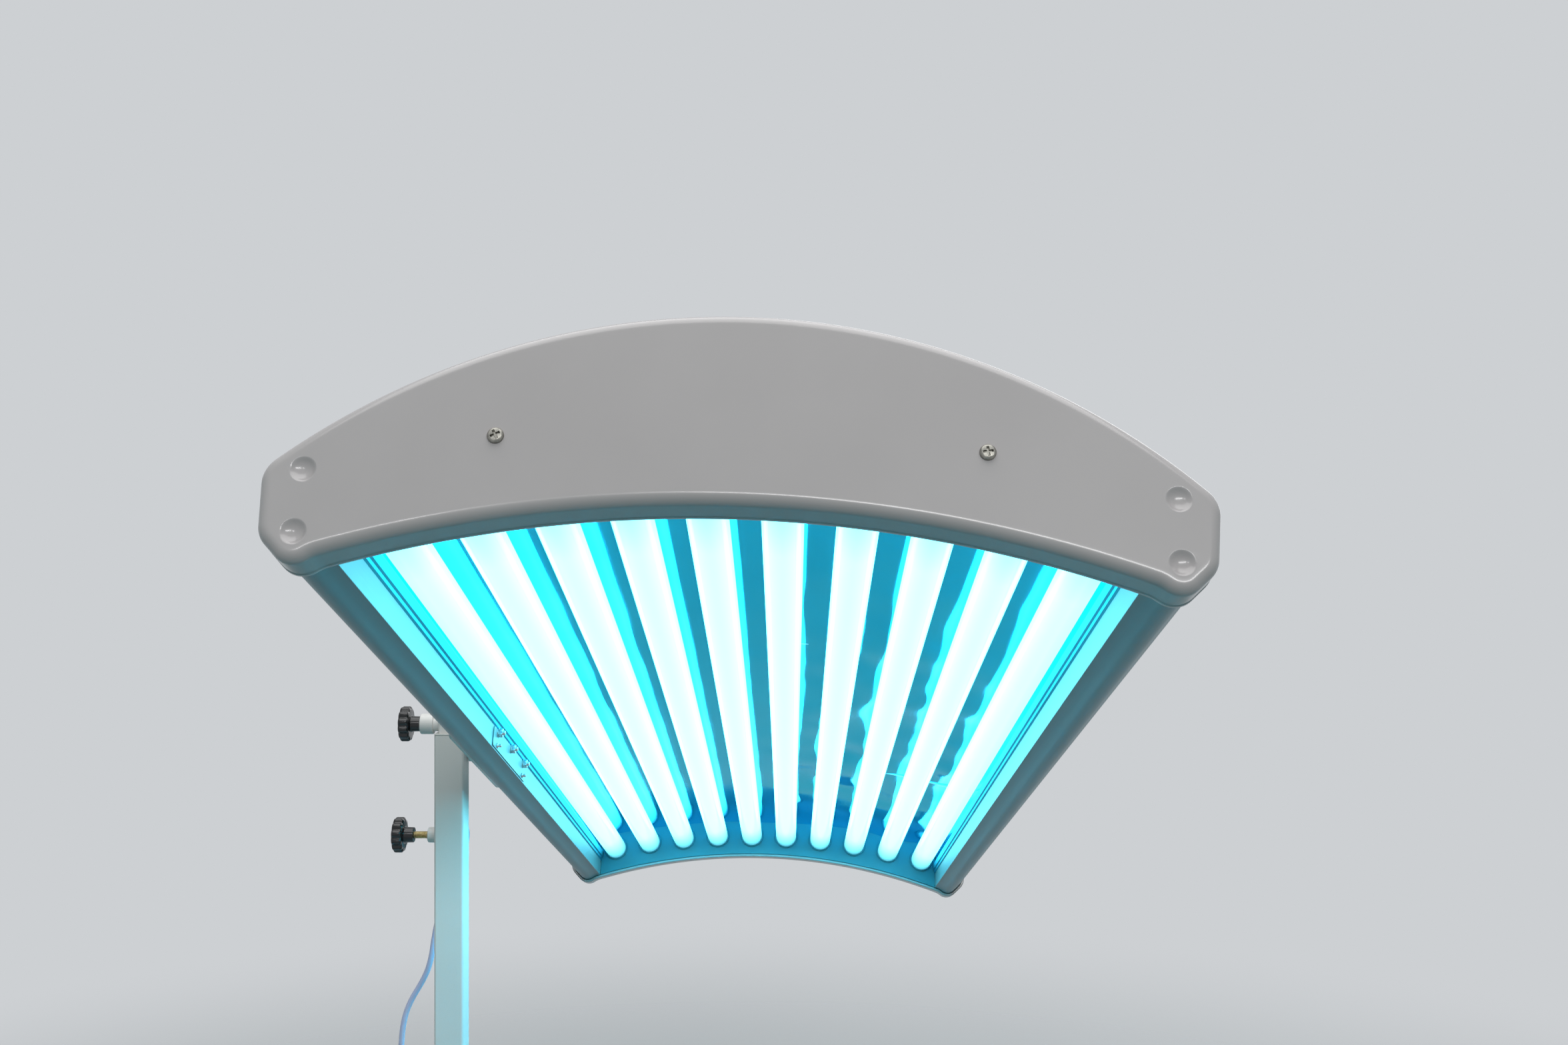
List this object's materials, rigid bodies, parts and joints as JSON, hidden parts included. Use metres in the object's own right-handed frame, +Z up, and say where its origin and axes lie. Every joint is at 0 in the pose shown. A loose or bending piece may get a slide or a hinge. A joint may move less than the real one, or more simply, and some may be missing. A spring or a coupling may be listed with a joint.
{
  "type": "tanning canopy on a rolling side post",
  "caption": "Arched sunlamp hood with a row of tubular lamps in a reflector, tilting on a telescopic square post with clamp knobs over an H-shaped rolling base, with a mains lead.",
  "frame": {"origin": "on the floor, under the middle of the bounding box of the stand and canopy, without the mains lead", "axes": "+X from the post towards the canopy's free side, +Y along the canopy towards its lower end, +Z up"},
  "size_m": [0.8973, 1.8758, 1.6462],
  "materials": {
    "white_abs": "moulded, glossy",
    "white_enamel": "powder coated, semi-gloss",
    "grey_abs": "moulded, semi-gloss",
    "painted_aluminium": "white painted sheet",
    "mill_aluminium": "extruded, anodised satin",
    "bright_aluminium": "polished",
    "lamp_glass": "phosphor coated glass, glowing",
    "zinc_steel": "zinc plated",
    "yellow_zinc": "yellow zinc plated",
    "ballast_enamel": "varnished laminations",
    "black_moulding": "moulded, glossy",
    "guide_plastic": "moulded, matt",
    "wheel_rubber": "grey rubber",
    "white_pvc": "soft PVC sheath"
  },
  "bodies": {
    "stand": {"base_spine": "white_enamel", "column_guide": "guide_plastic", "column_tube": "white_enamel", "cord_coil": "white_pvc", "cord_gland": "white_pvc", "free_side_foot": "white_enamel", "height_boss": "white_enamel", "mains_plug": "white_pvc", "post_side_foot": "white_enamel", "power_cord": "white_pvc"},
    "mast": {"mast_tube": "white_enamel", "tilt_boss": "white_enamel"},
    "canopy": {"backing_plate": "mill_aluminium", "ballast_1": "ballast_enamel", "ballast_2": "ballast_enamel", "ballast_3": "ballast_enamel", "ballast_4": "ballast_enamel", "ballast_5": "ballast_enamel", "bracket_bolt_1": "zinc_steel", "bracket_bolt_2": "zinc_steel", "bracket_bolt_3": "zinc_steel", "far_cap_screw_left": "zinc_steel", "far_cap_screw_right": "zinc_steel", "far_end_cap": "white_abs", "far_former": "mill_aluminium", "far_lamp_panel": "grey_abs", "free_side_rail": "mill_aluminium", "lamp_01": "lamp_glass", "lamp_02": "lamp_glass", "lamp_03": "lamp_glass", "lamp_04": "lamp_glass", "lamp_05": "lamp_glass", "lamp_06": "lamp_glass", "lamp_07": "lamp_glass", "lamp_08": "lamp_glass", "lamp_09": "lamp_glass", "lamp_10": "lamp_glass", "mounting_bracket": "white_enamel", "near_cap_screw_left": "zinc_steel", "near_cap_screw_right": "zinc_steel", "near_end_cap": "white_abs", "near_former": "mill_aluminium", "near_lamp_panel": "grey_abs", "pivot_axle": "zinc_steel", "post_side_rail": "mill_aluminium", "reflector": "bright_aluminium", "top_skin": "painted_aluminium"},
    "tilt_knob": {"tilt_knob": "black_moulding"},
    "height_knob": {"height_knob": "black_moulding", "height_stud": "yellow_zinc"},
    "post_front_castor": {"post_front_castor_fork": "zinc_steel"},
    "post_front_castor_wheel": {"post_front_castor_wheel": "wheel_rubber"},
    "post_rear_castor": {"post_rear_castor_fork": "zinc_steel"},
    "post_rear_castor_wheel": {"post_rear_castor_wheel": "wheel_rubber"},
    "free_front_castor": {"free_front_castor_fork": "zinc_steel"},
    "free_front_castor_wheel": {"free_front_castor_wheel": "wheel_rubber"},
    "free_rear_castor": {"free_rear_castor_fork": "zinc_steel"},
    "free_rear_castor_wheel": {"free_rear_castor_wheel": "wheel_rubber"}
  },
  "joints": [
    {"name": "mast_slide", "type": "slide", "parent": "stand", "child": "mast", "axis": [0, 0, 1], "range_m": [0, 0.35]},
    {"name": "canopy_tilt", "type": "hinge", "parent": "mast", "child": "canopy", "pos_m": [-0.36103, -0.0155, 1.2], "axis": [1, 0, 0], "range_deg": [-69.42, 110.58]},
    {"name": "tilt_knob_turn", "type": "hinge", "parent": "mast", "child": "tilt_knob", "pos_m": [-0.36103, -0.0155, 1.2], "axis": [1, 0, 0], "continuous": true},
    {"name": "height_knob_turn", "type": "hinge", "parent": "stand", "child": "height_knob", "pos_m": [-0.36103, -0.0155, 1.0476], "axis": [1, 0, 0], "continuous": true},
    {"name": "post_front_castor_swivel", "type": "hinge", "parent": "stand", "child": "post_front_castor", "pos_m": [-0.36103, -0.3705, 0], "axis": [0, 0, 1], "continuous": true},
    {"name": "post_front_castor_roll", "type": "hinge", "parent": "post_front_castor", "child": "post_front_castor_wheel", "pos_m": [-0.36103, -0.3885, 0.03], "axis": [1, 0, 0], "continuous": true},
    {"name": "post_rear_castor_swivel", "type": "hinge", "parent": "stand", "child": "post_rear_castor", "pos_m": [-0.36103, 0.3395, 0], "axis": [0, 0, 1], "continuous": true},
    {"name": "post_rear_castor_roll", "type": "hinge", "parent": "post_rear_castor", "child": "post_rear_castor_wheel", "pos_m": [-0.36103, 0.3215, 0.03], "axis": [1, 0, 0], "continuous": true},
    {"name": "free_front_castor_swivel", "type": "hinge", "parent": "stand", "child": "free_front_castor", "pos_m": [0.33897, -0.2905, 0], "axis": [0, 0, 1], "continuous": true},
    {"name": "free_front_castor_roll", "type": "hinge", "parent": "free_front_castor", "child": "free_front_castor_wheel", "pos_m": [0.33897, -0.3085, 0.03], "axis": [1, 0, 0], "continuous": true},
    {"name": "free_rear_castor_swivel", "type": "hinge", "parent": "stand", "child": "free_rear_castor", "pos_m": [0.33897, 0.2595, 0], "axis": [0, 0, 1], "continuous": true},
    {"name": "free_rear_castor_roll", "type": "hinge", "parent": "free_rear_castor", "child": "free_rear_castor_wheel", "pos_m": [0.33897, 0.2415, 0.03], "axis": [1, 0, 0], "continuous": true}
  ]
}
